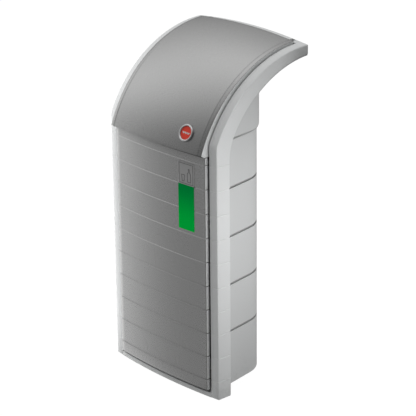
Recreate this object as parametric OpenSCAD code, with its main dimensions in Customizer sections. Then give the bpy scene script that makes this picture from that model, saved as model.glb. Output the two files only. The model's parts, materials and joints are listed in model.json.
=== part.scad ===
// Free-standing waste-sorting bin with a curved throw-in flap and a front door.
// Millimetres. X runs to the right, Y to the back and Z up. The origin is on the
// floor, midway between the two stiles, in line with their outer front corners.

/* [Front frame] */
// Width over both stiles
cabinet_w = 600; // [580:5:620]
// Width of one stile, seen from the front
stile_w = 38; // [36:1:42]
// Depth of one stile, seen from the side
stile_d = 64; // [60:1:68]
// Height of the rail that joins the stiles at the floor
sill_h = 18; // [14:1:22]
// Radius of the shallow crown across the whole front
crown_r = 2347; // [2200:10:2500]
// Skin thickness of the moulded parts
wall = 4; // [3.5:0.5:4.5]

/* [Arch] */
// Radius of the arch's outer edge
arch_r = 505; // [500:1:508]
// How far the arch's centre lies behind the front corners
arch_y = 460; // [458:1:462]
// Height of the arch's centre
arch_z = 799; // [790:1:805]
// Radius of the arch's underside
under_r = 468; // [465:1:470]

/* [Door] */
// Width of the door
door_w = 504; // [500:1:506]
// Lower edge of the door
door_z0 = 30; // [28:1:34]
// Upper edge of the door
door_z1 = 962; // [958:1:963]
// How far the door and its strip stand proud of the frame
door_proud = 10; // [8:1:11]
// Distance from one shadow groove to the next
groove_pitch = 95.25; // [94:0.25:96]

/* [Flap] */
// Width of the flap
flap_w = 513; // [509:1:514]
// Radius of the flap's outer face at its side edges
flap_edge_r = 517.2; // [516:0.1:518]
// Thickness of the flap's skin
flap_t = 3; // [2.5:0.5:3]

/* [Rear shell] */
// Width of the rear shell where it meets the frame
shell_w = 590; // [586:1:592]
// Radius of the rear shell's back corners
shell_corner_r = 135; // [133:1:136]
// How far the head shell stands proud of the rear shell at the back
head_proud = 9; // [7:1:10]

/* [Inner bin] */
// Height of the inner bin's rim
tub_top = 900; // [880:5:905]
// Sheet thickness of the inner bin
tub_t = 1.2; // [1:0.1:2]

/* [Hidden] */

half_w = cabinet_w / 2;
open_half = half_w - stile_w;
crown_c = sqrt(crown_r * crown_r - half_w * half_w);
fine = 720;
frame_back = 461;
under_y = 493;
under_z = 801;
sides = [-1, 1];
groove_zs = [for (k = [0:9]) 75 + k * groove_pitch];
groove_w = 1.6;
groove_depth = 0.8;

// Crown height above the stile corners at a distance x from the middle
function crown(x) = sqrt(crown_r * crown_r - x * x) - crown_c;

// Colours
light_grey = [0.80, 0.81, 0.81];
mid_grey = [0.50, 0.50, 0.49];
dark_grey = [0.25, 0.25, 0.26];
steel = [0.66, 0.67, 0.68];
chrome = [0.85, 0.86, 0.87];
zinc = [0.58, 0.60, 0.61];
black = [0.08, 0.08, 0.08];

// ---- shared shapes ----

// Upright block with the crowned front, set forward by off
module crown_prism(off, half, back, z0, z1) {
    translate([0, 0, z0])
        linear_extrude(z1 - z0)
            intersection() {
                translate([0, crown_c])
                    circle(r = crown_r + off, $fn = fine);
                translate([-half, -80])
                    square([2 * half, back + 80]);
            }
}

// Thin upright patch that follows the crowned front between two offsets
module crown_patch(off0, off1, x0, x1, z0, z1) {
    translate([0, 0, z0])
        linear_extrude(z1 - z0)
            intersection() {
                difference() {
                    translate([0, crown_c])
                        circle(r = crown_r + off1, $fn = fine);
                    translate([0, crown_c])
                        circle(r = crown_r + off0, $fn = fine);
                }
                translate([x0, -80])
                    square([x1 - x0, 100]);
            }
}

// Turns a profile (radius, x) about an axis along X, between two elevations
module about_x(cy, cz, e0, e1) {
    translate([0, cy, cz])
        rotate([0, 90, 0])
            rotate([0, 0, 270 - e1])
                rotate_extrude(angle = e1 - e0, $fn = fine)
                    children();
}

// Crowned ring whose outer radius is edge_r at the stile corners
module crown_ring(cy, cz, edge_r, r_in, x0, x1, e0, e1) {
    about_x(cy, cz, e0, e1)
        intersection() {
            translate([edge_r - crown_c, 0])
                circle(r = crown_r, $fn = fine);
            translate([r_in, x0])
                square([edge_r + 80 - r_in, x1 - x0]);
        }
}

// Crowned sheet between two edge radii
module crown_sheet(cy, cz, edge_out, edge_in, x0, x1, e0, e1) {
    about_x(cy, cz, e0, e1)
        intersection() {
            difference() {
                translate([edge_out - crown_c, 0])
                    circle(r = crown_r, $fn = fine);
                translate([edge_in - crown_c, 0])
                    circle(r = crown_r, $fn = fine);
            }
            translate([edge_in - 40, x0])
                square([edge_out - edge_in + 100, x1 - x0]);
        }
}

// Plain ring about an axis along X
module plain_ring(cy, cz, r_out, r_in, x0, x1, e0, e1) {
    about_x(cy, cz, e0, e1)
        translate([r_in, x0])
            square([r_out - r_in, x1 - x0]);
}

// Rod along X
module rod_x(r, x0, x1, y, z) {
    translate([x0, y, z])
        rotate([0, 90, 0])
            cylinder(r = r, h = x1 - x0, $fn = 64);
}

// Rod along Y
module rod_y(r, x, y0, y1, z) {
    translate([x, y0, z])
        rotate([-90, 0, 0])
            cylinder(r = r, h = y1 - y0, $fn = 64);
}

// Rod along Z
module rod_z(r, x, y, z0, z1) {
    translate([x, y, z0])
        cylinder(r = r, h = z1 - z0, $fn = 64);
}

// Box from its low corner to its high corner
module box(low, high) {
    translate(low)
        cube(high - low);
}

// Shadow grooves that run round the front and sides
module groove_cuts(off, half) {
    for (z = groove_zs)
        difference() {
            crown_prism(off + 4, half + 4, stile_d + 0.5, z - groove_w / 2, z + groove_w / 2);
            crown_prism(off - groove_depth, half - groove_depth, stile_d + 2, z - 3, z + 3);
        }
}

// ---- front frame ----

stile_cells = [[24, 200], [224, 470], [494, 720], [744, 960]];
flap_pin_y = 446;
flap_pin_z = 1290;
flap_pin_r = 4;
lug_x = 229;
lug_t = 10;
rail_front = 432;

// Great cylinder along X, as wide as the cabinet and a little more
module drum_x(r, y, z) {
    translate([-half_w - 1, y, z])
        rotate([0, 90, 0])
            cylinder(r = r, h = cabinet_w + 2, $fn = fine);
}

module arch_under(r) {
    drum_x(r, under_y, under_z);
}

// Height at which the stile's back runs into the arch's underside
under_kink_z = under_z + sqrt(pow(under_r, 2) - pow(under_y - stile_d, 2));

// Everything that the frame's front and top face enclose
module frame_envelope() {
    intersection() {
        crown_prism(0, half_w, frame_back, 0, 1400);
        union() {
            crown_ring(arch_y, arch_z, arch_r, 420, -half_w - 1, half_w + 1, 16, 92);
            box([-half_w - 1, -80, 0], [half_w + 1, stile_d + 20, 960]);
        }
    }
}

module front_frame() {
    mid = (half_w + open_half) / 2;
    color(light_grey)
        difference() {
            frame_envelope();
            box([-open_half, -100, sill_h], [open_half, rail_front, 1400]);
            box([-half_w - 1, stile_d, -1], [half_w + 1, 500, under_kink_z]);
            intersection() {
                arch_under(under_r);
                box([-half_w - 1, 0, under_kink_z - 0.01], [half_w + 1, 500, 1400]);
            }
            groove_cuts(0, half_w);
            for (s = sides) {
                for (c = stile_cells)
                    box([s * mid - 15, 5, c[0]], [s * mid + 15, stile_d + 6, c[1]]);
                plain_ring(arch_y, arch_z, arch_r - 5, 415, s * mid - 15, s * mid + 15, 27, 62);
                for (z = screw_zs)
                    rod_y(screw_r, s * screw_x, 50, stile_d + 1, z);
                box([s * lug_x - 10, rail_front - 5, 1277], [s * lug_x + 10, 457, 1400]);
                rod_x(flap_pin_r, s * lug_x - 18, s * lug_x + 18, flap_pin_y, flap_pin_z);
            }
            rod_z(pivot_r, pivot_x, pivot_y, 6, sill_h + 1);
        }
}

// ---- rear shell, head shell and soffit ----

corner_x = 139.5;
corner_y = 164;
shell_z0 = 48;
shell_z1 = 1019;
flange_z0 = 54.5;
flange_z1 = 985;
head_z0 = 1025.5;
rib_zs = [266, 456, 647, 837];
rib_w = 12;
rib_depth = 3;
screw_r = 2.4;
screw_x = 281;
screw_zs = [212, 482, 732, 972];

// Direction of the point where the side wall runs into the corner's curve
function side_deg(px, r) = atan2(stile_d - corner_y, px - corner_x)
    + acos(r / norm([px - corner_x, stile_d - corner_y]));

// Plan of the shell, set in by inset; front is where it is cut off
module shell_plan(px, r, inset, front) {
    a = side_deg(px, r);
    x = px - inset / cos(a);
    ri = r - inset;
    intersection() {
        union() {
            polygon([[x, stile_d], [corner_x + ri * cos(a), corner_y + ri * sin(a)],
                [corner_x, corner_y + ri], [-corner_x, corner_y + ri],
                [-corner_x - ri * cos(a), corner_y + ri * sin(a)], [-x, stile_d]]);
            for (s = sides)
                translate([s * corner_x, corner_y])
                    circle(r = ri, $fn = 360);
            translate([-x, front])
                square([2 * x, stile_d - front + 0.01]);
        }
        translate([-half_w, front])
            square([cabinet_w, 400]);
    }
}

// Upright wall that follows the plan from one inset to another, open to the front
module shell_wall(px, r, inset0, inset1, z0, z1) {
    translate([0, 0, z0])
        linear_extrude(z1 - z0)
            difference() {
                shell_plan(px, r, inset0, stile_d);
                shell_plan(px, r, inset1, stile_d - 3);
            }
}

module rear_shell() {
    px = shell_w / 2;
    color(light_grey)
        difference() {
            union() {
                shell_wall(px, shell_corner_r, 0, wall, shell_z0, shell_z1);
                for (z = rib_zs)
                    shell_wall(px, shell_corner_r, rib_depth, rib_depth + wall,
                        z - rib_w / 2 - 2, z + rib_w / 2 + 2);
                shell_wall(px, shell_corner_r, wall - 0.5, 2 * wall, shell_z1 - 14, shell_z1 + 20);
                for (s = sides)
                    box([s * screw_x - 12, stile_d, flange_z0], [s * screw_x + 12, stile_d + wall, flange_z1]);
            }
            difference() {
                box([-half_w, stile_d - 1, flange_z1], [half_w, 200, shell_z1 + 30]);
                arch_under(under_r - 0.3);
            }
            for (z = rib_zs)
                shell_wall(px, shell_corner_r, -2, rib_depth, z - rib_w / 2, z + rib_w / 2);
            for (s = sides, z = screw_zs)
                rod_y(screw_r, s * screw_x, stile_d - 1, stile_d + wall + 1, z);
        }
}

module head_shell() {
    color(light_grey)
        intersection() {
            shell_wall(shell_w / 2 + 1, shell_corner_r + head_proud, 0, wall, head_z0, 1300);
            arch_under(under_r - 0.3);
        }
}

module arch_soffit() {
    color(light_grey)
        difference() {
            plain_ring(under_y, under_z, under_r - 0.3, under_r - 4, -half_w + 2, half_w - 2, 30, 85.8);
            translate([0, 0, 900])
                linear_extrude(500)
                    shell_plan(shell_w / 2 + 1, shell_corner_r + head_proud, -0.3, -10);
        }
}

// ---- base ----

pan_z = 50;
anchor_x = 120;
anchor_ys = [110, 215];
anchor_r = 5.5;
cup_r = 28;
pad_t = 3;

module base_pan() {
    color(dark_grey)
        difference() {
            union() {
                translate([0, 0, pan_z])
                    linear_extrude(wall)
                        shell_plan(shell_w / 2, shell_corner_r, wall + 5.5, stile_d);
                box([-open_half + 3, stile_d - wall, sill_h], [open_half - 3, stile_d, pan_z + wall]);
                box([-open_half + 3, stile_d - wall, pan_z], [open_half - 3, stile_d + 9, pan_z + wall]);
                for (s = sides, y = anchor_ys)
                    rod_z(cup_r, s * anchor_x, y, pad_t, pan_z + 1);
            }
            for (s = sides, y = anchor_ys) {
                rod_z(cup_r - wall, s * anchor_x, y, pad_t + 6, pan_z + 10);
                rod_z(anchor_r, s * anchor_x, y, -1, 20);
            }
        }
}

module foot_pads() {
    color(black)
        for (s = sides, y = anchor_ys)
            difference() {
                rod_z(cup_r - 1, s * anchor_x, y, 0, pad_t);
                rod_z(8, s * anchor_x, y, -1, pad_t + 1);
            }
}

module shell_screws() {
    color(steel)
        for (s = sides, z = screw_zs) {
            rod_y(screw_r, s * screw_x, 50, stile_d + wall + 1, z);
            rod_y(5, s * screw_x, stile_d + wall, stile_d + wall + 2.5, z);
        }
}

// ---- door and its pivots ----

door_half = door_w / 2;
door_t = 2.5;
pivot_x = -218;
pivot_y = 8;
pivot_r = 5;
pivot_gap = 0.05;
block_y0 = 0.5;
block_y1 = 16;
block_h = 30;
bracket_z = 964;

module pivot_bracket() {
    color(steel)
        difference() {
            union() {
                box([-open_half, -2, bracket_z], [pivot_x + 12, 20, bracket_z + 5]);
                box([-open_half, 4, bracket_z], [-open_half + 3, 34, bracket_z + 32]);
            }
            rod_z(pivot_r, pivot_x, pivot_y, bracket_z - 1, bracket_z + 6);
        }
}

module pivot_pins() {
    color(steel) {
        rod_z(pivot_r, pivot_x, pivot_y, 6, door_z0 + 3 + block_h);
        rod_z(pivot_r, pivot_x, pivot_y, door_z1 - 3 - block_h, bracket_z + 5);
    }
}

module pivot_washer() {
    color(black)
        difference() {
            rod_z(6.5, pivot_x, pivot_y, sill_h, door_z0 + 2.7);
            rod_z(pivot_r, pivot_x, pivot_y, sill_h - 1, door_z0 + 4);
        }
}

module door_panel() {
    color(mid_grey)
        difference() {
            crown_prism(door_proud, door_half, 1, door_z0, door_z1);
            crown_prism(door_proud - door_t, door_half - door_t, 2, door_z0 + door_t, door_z1 - door_t);
            groove_cuts(door_proud, door_half);
        }
}

module door_liner() {
    color(light_grey)
        box([-door_half + door_t, -1.5, door_z0 + door_t],
            [door_half - door_t, block_y0, door_z1 - door_t]);
}

module door_ribs() {
    color(steel)
        for (z = [235, 485, 735])
            difference() {
                crown_prism(door_proud - door_t - 0.1, door_half - 14, -1.5, z, z + 26);
                crown_prism(door_proud - door_t - 2.1, door_half, 5, z + 2, z + 24);
            }
}

module door_pivots() {
    color(steel)
        for (z = [door_z0 + 3, door_z1 - 3 - block_h])
            difference() {
                box([pivot_x - 16, block_y0, z], [pivot_x + 16, block_y1, z + block_h]);
                rod_z(pivot_r + pivot_gap, pivot_x, pivot_y, z - 1, z + block_h + 1);
            }
}

module door_bumpers() {
    color(black)
        for (z = [95, 700])
            box([open_half - 16, 1.8, z], [open_half, 7, z + 16]);
}

// ---- latch on the inside of the door, reached through the flap ----

latch_x = 222;
latch_z = 925;
spindle_r = 6;

module lock_case() {
    color(dark_grey)
        difference() {
            box([latch_x - 26, block_y0, latch_z - 30], [latch_x + 18, 12, latch_z + 25]);
            rod_y(spindle_r + pivot_gap, latch_x, -1, 13, latch_z);
        }
}

module latch_spindle() {
    color(steel)
        rod_y(spindle_r, latch_x, block_y0 + 0.5, 30, latch_z);
}

module latch_cam() {
    color(steel)
        difference() {
            union() {
                rod_y(8, latch_x, 14, 18, latch_z);
                box([latch_x - 8, 14, latch_z - 35], [latch_x + 8, 18, latch_z]);
            }
            rod_y(spindle_r, latch_x, 13, 19, latch_z);
        }
}

module latch_grip() {
    color(black)
        difference() {
            union() {
                rod_y(11, latch_x, 20, 30, latch_z);
                box([latch_x - 6, 20, latch_z], [latch_x + 6, 28, latch_z + 38]);
                rod_y(6, latch_x, 20, 28, latch_z + 38);
            }
            rod_y(spindle_r, latch_x, 19, 31, latch_z);
        }
}

module strike_plate() {
    color(steel) {
        box([open_half - 15, 8, latch_z - 20], [open_half, 12, latch_z + 20]);
        box([open_half - 3, 8, latch_z - 32], [open_half, 44, latch_z + 32]);
    }
}

// ---- label and colour strip on the door ----

label_x0 = 117.5;
label_x1 = 200;
label_z0 = 836;
label_z1 = 924;
strip_z0 = 659;
label_off = door_proud + 1.5;

module label_plate() {
    color([0.62, 0.62, 0.61])
        crown_patch(door_proud, label_off, label_x0, label_x1, label_z0 + 0.3, label_z1);
}

module colour_strip() {
    color([0.0, 0.55, 0.19])
        crown_patch(door_proud, door_proud + 0.8, label_x0 - 1, label_x1 - 3, strip_z0, label_z0);
}

// Outline of a rectangle
module frame_2d(x0, z0, x1, z1, t) {
    difference() {
        translate([x0, z0])
            square([x1 - x0, z1 - z0]);
        translate([x0 + t, z0 + t])
            square([x1 - x0 - 2 * t, z1 - z0 - 2 * t]);
    }
}

// A bottle, grown outwards by g
module bottle_2d(x, z, g) {
    translate([x - 9 - g, z - g])
        square([18 + 2 * g, 30 + 2 * g]);
    translate([x, z + 30])
        circle(r = 9 + g, $fn = 48);
    translate([x - 3.5 - g, z + 30])
        square([7 + 2 * g, 22 + g]);
}

// A drinking glass, grown outwards by g
module glass_2d(x, z, g) {
    polygon([[x - 6 - g, z - g], [x + 6 + g, z - g], [x + 9 + g, z + 26 + g], [x - 9 - g, z + 26 + g]]);
}

module label_mark() {
    color(dark_grey)
        intersection() {
            crown_patch(label_off, label_off + 0.4, label_x0, label_x1, label_z0, label_z1);
            translate([0, 20, 0])
                rotate([90, 0, 0])
                    linear_extrude(80) {
                        frame_2d(label_x0 + 5, label_z0 + 5, label_x1 - 5, label_z1 - 5, 1.6);
                        difference() {
                            bottle_2d(174, label_z0 + 13, 0);
                            bottle_2d(174, label_z0 + 13, -1.8);
                        }
                        difference() {
                            glass_2d(144, label_z0 + 13, 0);
                            glass_2d(144, label_z0 + 13, -1.8);
                        }
                    }
        }
}

// ---- flap ----

flap_y = 449.6;
flap_r = flap_edge_r - crown(256);
flap_half = flap_w / 2;
lip_z = 973;
flap_e1 = 87.6;
cheek_r = 490;
crease_x = 238;
liner_gap = 12;

module flap_panel() {
    color(mid_grey)
        difference() {
            intersection() {
                union() {
                    crown_sheet(flap_y, arch_z, flap_r, flap_r - flap_t, -flap_half, flap_half, 12, flap_e1);
                    difference() {
                        for (s = sides)
                            crown_ring(flap_y, arch_z, flap_r - 1, 430,
                                s * (flap_half - flap_t / 2) - flap_t / 2,
                                s * (flap_half - flap_t / 2) + flap_t / 2, 12, flap_e1);
                        drum_x(cheek_r, arch_y, arch_z);
                        translate([-half_w, 0, 0])
                            rotate([90, 0, 90])
                                linear_extrude(cabinet_w)
                                    polygon([[427.5, 1309], [416, 1280], [470, 1280], [470, 1309]]);
                    }
                    intersection() {
                        crown_sheet(flap_y, arch_z, flap_r, flap_r - 16, -flap_half, flap_half, 12, 30);
                        box([-half_w, -100, lip_z - 1], [half_w, 100, lip_z + flap_t]);
                    }
                    for (x = [[-flap_half, -lug_x - 6], [6 - lug_x, lug_x - 6], [lug_x + 6, flap_half]])
                        crown_sheet(flap_y, arch_z, flap_r, flap_r - 7, x[0], x[1],
                            flap_e1 - 0.33, flap_e1);
                }
                box([-half_w, -100, lip_z], [half_w, 461, 1400]);
            }
            for (s = sides)
                crown_sheet(flap_y, arch_z, flap_r + 5, flap_r - 0.6,
                    s * crease_x - 0.8, s * crease_x + 0.8, 10, 90);
        }
}

module flap_liner() {
    edge = flap_r - flap_t;
    half = 232;
    color(light_grey)
        difference() {
            crown_sheet(flap_y, arch_z, edge - 0.05, edge - liner_gap, -half, half, 24, 83.5);
            crown_sheet(flap_y, arch_z, edge + 1, edge - liner_gap + 2, -half + 2, half - 2, 24.3, 83.2);
        }
}

module flap_lugs() {
    color(steel)
        difference() {
            union() {
                intersection() {
                    for (s = sides)
                        translate([s * lug_x - lug_t / 2, 0, 0])
                            rotate([90, 0, 90])
                                linear_extrude(lug_t)
                                    polygon([[399, 1340], [423.5, 1340], [423.5, 1302], [flap_pin_y, 1299],
                                        [flap_pin_y, 1281], [424, 1281], [399, 1294]]);
                    crown_ring(flap_y, arch_z, flap_r - flap_t - 0.05, 300, -half_w, half_w, 60, 100);
                }
                for (s = sides)
                    rod_x(9, s * lug_x - lug_t / 2, s * lug_x + lug_t / 2, flap_pin_y, flap_pin_z);
            }
            for (s = sides)
                rod_x(flap_pin_r + pivot_gap, s * lug_x - lug_t, s * lug_x + lug_t,
                    flap_pin_y, flap_pin_z);
        }
}

module flap_pins() {
    color(steel)
        for (s = sides)
            rod_x(flap_pin_r, s * lug_x - 18, s * lug_x + 18, flap_pin_y, flap_pin_z);
}

module flap_bumpers() {
    color(black)
        for (x = [-open_half, open_half - 12])
            plain_ring(arch_y, arch_z, cheek_r - 0.4, cheek_r - 12, x, x + 12, 28, 31);
}

// ---- emblem on the flap ----

emblem_x = 159;
emblem_deg = 26.8;
bezel_r = 32.5;
disc_r = 25.3;
bezel_h = 3.6;

// Puts its children on the flap's outer face, +Z outwards and +Y up the slope
module on_flap(x, e) {
    translate([0, flap_y, arch_z])
        rotate([90 - e, 0, 0])
            translate([x, 0, flap_r + crown(x)])
                rotate([0, asin(x / crown_r), 0])
                    children();
}

module emblem_bezel() {
    color(chrome)
        on_flap(emblem_x, emblem_deg)
            rotate_extrude($fn = 96) {
                translate([disc_r + 0.2, 0])
                    square([bezel_r - disc_r - 0.2, bezel_h]);
                translate([(disc_r + 0.2 + bezel_r) / 2, bezel_h])
                    circle(r = (bezel_r - disc_r - 0.2) / 2, $fn = 32);
            }
}

module emblem_disc() {
    color([0.80, 0.16, 0.11])
        on_flap(emblem_x, emblem_deg)
            translate([0, 0, 0.05])
                cylinder(r = disc_r, h = 2.4, $fn = 96);
}

module emblem_mark() {
    color("white")
        on_flap(emblem_x, emblem_deg)
            translate([0, 0, 2.45])
                linear_extrude(0.6)
                    for (x = [-12, 0, 12])
                        polygon([[x - 5.5, 4.5], [x, 0.5], [x + 5.5, 4.5],
                            [x + 5.5, 0], [x, -4.5], [x - 5.5, 0]]);
}

// ---- inner bin ----

tub_z0 = 62;
tub_y0 = 70;
tub_front_r = 30;
tub_back_r = 100;
tub_half = 205;
tub_back = 278;
rim_out = 5;

// Plan of the inner bin, set in by inset
module tub_plan(inset) {
    rf = tub_front_r - inset;
    rb = tub_back_r - inset;
    xf = tub_half - tub_front_r;
    xb = tub_half - tub_back_r;
    yf = tub_y0 + tub_front_r;
    yb = tub_back - tub_back_r;
    translate([-xf, tub_y0 + inset])
        square([2 * xf, yb - tub_y0 - inset]);
    translate([-tub_half + inset, yf])
        square([2 * (tub_half - inset), yb - yf]);
    translate([-xb, yb - 1])
        square([2 * xb, rb + 1]);
    for (s = sides) {
        translate([s * xf, yf])
            circle(r = rf, $fn = 96);
        translate([s * xb, yb])
            circle(r = rb, $fn = 180);
    }
}

// Upright wall that follows the inner bin's plan
module tub_wall(inset0, inset1, z0, z1) {
    translate([0, 0, z0])
        linear_extrude(z1 - z0)
            difference() {
                tub_plan(inset0);
                tub_plan(inset1);
            }
}

module liner_tub() {
    color(zinc) {
        tub_wall(0, tub_t, tub_z0, tub_top - 8);
        translate([0, 0, tub_z0])
            linear_extrude(tub_t)
                tub_plan(0);
        for (z = [300, 560])
            tub_wall(-1.5, tub_t - 0.1, z, z + 10);
    }
}

module tub_rim() {
    color(steel)
        tub_wall(-rim_out, tub_t, tub_top - 8, tub_top);
}

module tub_runners() {
    color(dark_grey)
        for (s = sides)
            box([s * 155 - 5, tub_y0 + 5, pan_z + wall], [s * 155 + 5, 250, tub_z0]);
}

handle_y = 60;
handle_z = 860;
handle_wire_r = 3.5;
handle_half = 66;
handle_drop = 42;

module handle_lugs() {
    color(steel)
        for (s = sides)
            difference() {
                box([s * (handle_half + 10.5) - 4, 52, handle_z - 9],
                    [s * (handle_half + 10.5) + 4, tub_y0, handle_z + 9]);
                rod_x(handle_wire_r + pivot_gap, s * (handle_half + 10.5) - 5,
                    s * (handle_half + 10.5) + 5, handle_y, handle_z);
            }
}

module tub_handle() {
    color(steel) {
        for (s = sides) {
            rod_z(handle_wire_r, s * handle_half, handle_y, handle_z - handle_drop, handle_z);
            rod_x(handle_wire_r, s * (handle_half + 7.2) - 7.2, s * (handle_half + 7.2) + 7.2,
                handle_y, handle_z);
            translate([s * handle_half, handle_y, handle_z])
                sphere(r = handle_wire_r, $fn = 48);
            translate([s * handle_half, handle_y, handle_z - handle_drop])
                sphere(r = handle_wire_r, $fn = 48);
        }
        rod_x(handle_wire_r, -handle_half, handle_half, handle_y, handle_z - handle_drop);
    }
}

module handle_grip() {
    color(black)
        difference() {
            rod_x(8, -45, 45, handle_y, handle_z - handle_drop);
            rod_x(handle_wire_r, -46, 46, handle_y, handle_z - handle_drop);
        }
}

// ---- bag ring, hinged along the back of the inner bin ----

ring_y = 289;
ring_z = 905;
ring_pin_r = 2.5;

module bag_ring() {
    color(dark_grey)
        difference() {
            union() {
                tub_wall(-6, 4, tub_top + 0.5, tub_top + 8);
                for (s = sides) {
                    box([s * 70 - 10, 281, tub_top + 1], [s * 70 + 10, ring_y, tub_top + 8]);
                    rod_x(4, s * 70 - 10, s * 70 + 10, ring_y, ring_z);
                }
            }
            for (s = sides)
                rod_x(ring_pin_r + pivot_gap, s * 70 - 11, s * 70 + 11, ring_y, ring_z);
        }
}

module ring_brackets() {
    color(steel)
        for (s = sides, t = sides)
            difference() {
                union() {
                    box([s * 70 + t * 13 - 2, tub_back + rim_out, tub_top - 12],
                        [s * 70 + t * 13 + 2, 293, tub_top]);
                    box([s * 70 + t * 13 - 2, ring_y - 4, tub_top - 1],
                        [s * 70 + t * 13 + 2, 293, ring_z]);
                    rod_x(4, s * 70 + t * 13 - 2, s * 70 + t * 13 + 2, ring_y, ring_z);
                }
                rod_x(ring_pin_r, s * 70 + t * 13 - 3, s * 70 + t * 13 + 3, ring_y, ring_z);
            }
}

module ring_pins() {
    color(steel)
        for (s = sides)
            rod_x(ring_pin_r, s * 70 - 15, s * 70 + 15, ring_y, ring_z);
}

front_frame();
rear_shell();
head_shell();
arch_soffit();
base_pan();
foot_pads();
shell_screws();
flap_pins();
flap_bumpers();
door_bumpers();
pivot_bracket();
pivot_pins();
pivot_washer();
strike_plate();
liner_tub();
tub_rim();
tub_runners();
handle_lugs();
ring_brackets();
ring_pins();
door_panel();
door_liner();
door_ribs();
door_pivots();
lock_case();
label_plate();
label_mark();
colour_strip();
latch_spindle();
latch_cam();
latch_grip();
flap_panel();
flap_liner();
flap_lugs();
emblem_bezel();
emblem_disc();
emblem_mark();
bag_ring();
tub_handle();
handle_grip();
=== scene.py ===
# %% [markdown]
# # A free-standing recycling bin
# The bin is a tall cabinet: a pale moulded frame that runs up both sides and bends over
# the top, a silver-grey door with fine shadow lines, a curved flap of the same silver-grey
# above it, and a ribbed shell behind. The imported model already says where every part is,
# so this script only dresses it: large visible mouldings are modelled again with soft
# edges, and every small fitting keeps its shape and gets a finish.

import json
import math

import bmesh
import bpy
from mathutils import Matrix, Vector

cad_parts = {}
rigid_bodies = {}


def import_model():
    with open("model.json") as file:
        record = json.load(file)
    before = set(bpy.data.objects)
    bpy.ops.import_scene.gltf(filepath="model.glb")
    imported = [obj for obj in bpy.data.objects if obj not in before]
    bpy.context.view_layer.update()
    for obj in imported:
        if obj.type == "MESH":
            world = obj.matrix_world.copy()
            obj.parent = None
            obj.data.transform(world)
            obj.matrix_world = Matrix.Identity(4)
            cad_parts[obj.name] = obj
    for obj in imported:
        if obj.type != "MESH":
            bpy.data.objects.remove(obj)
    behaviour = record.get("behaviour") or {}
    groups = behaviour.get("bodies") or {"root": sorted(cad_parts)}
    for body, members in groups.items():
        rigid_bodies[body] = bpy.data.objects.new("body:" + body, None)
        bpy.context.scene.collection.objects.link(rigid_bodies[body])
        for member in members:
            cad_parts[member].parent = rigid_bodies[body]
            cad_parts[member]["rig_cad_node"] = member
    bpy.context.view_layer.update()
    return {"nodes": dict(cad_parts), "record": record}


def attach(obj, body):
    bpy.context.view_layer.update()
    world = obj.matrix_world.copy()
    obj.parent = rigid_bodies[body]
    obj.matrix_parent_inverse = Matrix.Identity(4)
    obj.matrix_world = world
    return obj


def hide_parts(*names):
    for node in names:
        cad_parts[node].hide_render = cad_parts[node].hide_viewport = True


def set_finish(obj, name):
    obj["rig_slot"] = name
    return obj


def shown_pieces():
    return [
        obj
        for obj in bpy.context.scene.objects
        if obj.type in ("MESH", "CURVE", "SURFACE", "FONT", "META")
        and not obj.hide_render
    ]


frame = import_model()

# %% [markdown]
# ## Camera
# The camera comes first, because every judgement of shape is made through it. A long lens
# from several metres away keeps the verticals nearly parallel, so the tall sides don't lean.
# It could be aimed with a tracking constraint, but a plain turn about three axes is easier
# to keep exact: yaw round the bin, pitch downwards, and a trace of roll.

# %% Place the camera
CAMERA_PLACE = (5.112756, -4.343900, 3.204845)
LENS_MM, SENSOR_MM = 164.51, 36
YAW = math.radians(48.226)
PITCH = math.radians(20.519)
ROLL = math.radians(-0.573)

back = Vector((math.sin(YAW) * math.cos(PITCH), -math.cos(YAW) * math.cos(PITCH), math.sin(PITCH)))
right = Vector((math.cos(YAW), math.sin(YAW), 0))
up = back.cross(right)
tilted_right = right * math.cos(ROLL) + up * math.sin(ROLL)
tilted_up = up * math.cos(ROLL) - right * math.sin(ROLL)

camera_data = bpy.data.cameras.new("camera")
camera_data.lens = LENS_MM
camera_data.sensor_width = SENSOR_MM
camera = bpy.data.objects.new("camera", camera_data)
bpy.context.scene.collection.objects.link(camera)
camera.matrix_world = Matrix.Translation(CAMERA_PLACE) @ Matrix(
    (tilted_right, tilted_up, back)).transposed().to_4x4()
bpy.context.scene.camera = camera
print("the camera stands", round(camera.location.length, 2), "m from the bin's foot")

# %% [markdown]
# ## Modelling helpers
# Sheet-metal and moulded panels are easiest to draw as an outline that is then swept. The
# pen below drops one corner and draws lines and arcs from it with Extrude and Spin, just as
# a hand would. Selecting by place instead of by index keeps every later step readable and
# independent of how many corners an arc was given.

# %% Start a piece and draw outlines
X_AXIS, Y_AXIS, Z_AXIS = Vector((1, 0, 0)), Vector((0, 1, 0)), Vector((0, 0, 1))


def new_piece(name):
    """An empty mesh at the origin, left in edit mode."""
    bpy.ops.object.select_all(action="DESELECT")
    bpy.ops.mesh.primitive_plane_add(size=0.1, location=(0, 0, 0))
    piece = bpy.context.object
    piece.name = piece.data.name = name
    bpy.ops.object.mode_set(mode="EDIT")
    bpy.ops.mesh.select_all(action="SELECT")
    bpy.ops.mesh.delete(type="VERT")
    return piece


class Pen:
    """Draws one chain of edges; its last corner stays selected."""

    def __init__(self, at):
        bpy.ops.mesh.select_mode(type="VERT")
        bpy.ops.mesh.select_all(action="DESELECT")
        bpy.ops.mesh.primitive_plane_add(size=0.01, location=at)
        bpy.ops.mesh.merge(type="CENTER")
        self.at = Vector(at)

    def line(self, to, steps=1):
        step = (Vector(to) - self.at) / steps
        for _ in range(steps):
            bpy.ops.mesh.extrude_region_move(TRANSFORM_OT_translate={"value": step})
        self.at = Vector(to)
        return self

    def arc(self, centre, axis, degrees, steps):
        bpy.ops.mesh.spin(steps=steps, angle=-math.radians(degrees), center=centre, axis=axis)
        turn = Matrix.Rotation(math.radians(degrees), 3, axis)
        self.at = Vector(centre) + turn @ (self.at - Vector(centre))
        return self


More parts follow.
